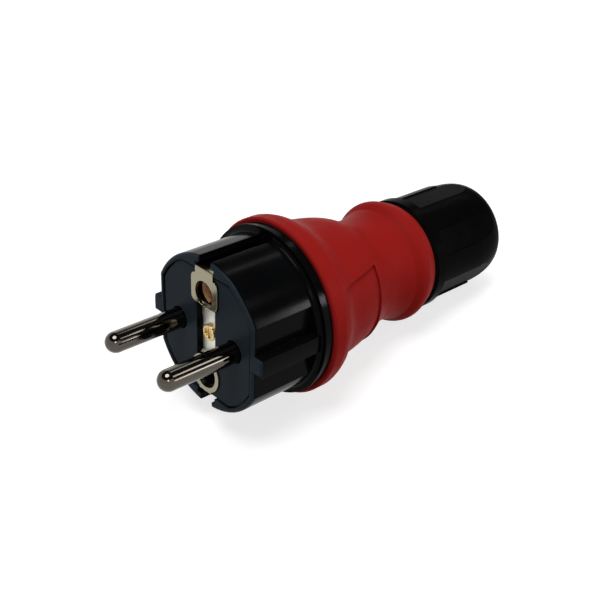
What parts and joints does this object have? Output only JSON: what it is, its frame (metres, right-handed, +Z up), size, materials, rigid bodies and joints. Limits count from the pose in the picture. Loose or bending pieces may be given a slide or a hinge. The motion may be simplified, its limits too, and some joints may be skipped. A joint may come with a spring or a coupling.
{
  "type": "schuko plug",
  "caption": "Rewirable two-pole mains plug with round pins, side earth contacts, an earth-pin socket, a waisted housing and a screw cable gland.",
  "frame": {"origin": "middle of the front face, midway between the two contact pins", "axes": "+Y along the plug towards the cable, pins to -Y, +Z up through the upper earth contact, +X to the right seen from the front"},
  "size_m": [0.0424, 0.1074, 0.0424],
  "materials": {
    "black_plastic": "satin moulded plastic",
    "red_plastic": "fine matt moulded plastic",
    "bright_nickel": "polished nickel plate",
    "satin_nickel": "satin nickel plate",
    "brass": "turned brass",
    "copper_alloy": "rolled spring bronze",
    "zinc_steel": "zinc plate",
    "black_rubber": "moulded rubber",
    "pale_plastic": "moulded nylon"
  },
  "bodies": {
    "carrier": {"contact_carrier": "black_plastic", "pin_left": "bright_nickel", "pin_right": "bright_nickel", "clamp_plate_left": "zinc_steel", "clamp_plate_right": "zinc_steel", "clamp_screw_left": "zinc_steel", "clamp_screw_right": "zinc_steel", "earth_strip": "satin_nickel", "earth_strip_screw": "brass", "earth_socket": "copper_alloy", "earth_terminal": "brass", "earth_clamp_plate": "zinc_steel", "earth_clamp_screw": "zinc_steel", "neck_seal": "black_rubber"},
    "shell": {"housing": "red_plastic", "clamping_cage": "pale_plastic", "cable_seal": "black_rubber"},
    "slip_ring": {"thrust_ring": "pale_plastic"},
    "nut": {"gland_nut": "black_plastic"}
  },
  "joints": [
    {"name": "housing_twist", "type": "hinge", "parent": "carrier", "child": "shell", "pos_m": [0, 0, 0], "axis": [0, 1, 0], "range_deg": [0, 40]},
    {"name": "nut_advance", "type": "slide", "parent": "shell", "child": "slip_ring", "axis": [0, 1, 0], "range_m": [0, 0.0045]},
    {"name": "nut_turn", "type": "hinge", "parent": "slip_ring", "child": "nut", "pos_m": [0, 0.07, 0], "axis": [0, 1, 0], "range_deg": [0, 541]}
  ],
  "couplings": [
    {"joint": "nut_turn", "follows": "nut_advance", "rad_per_m": 2094.4}
  ]
}
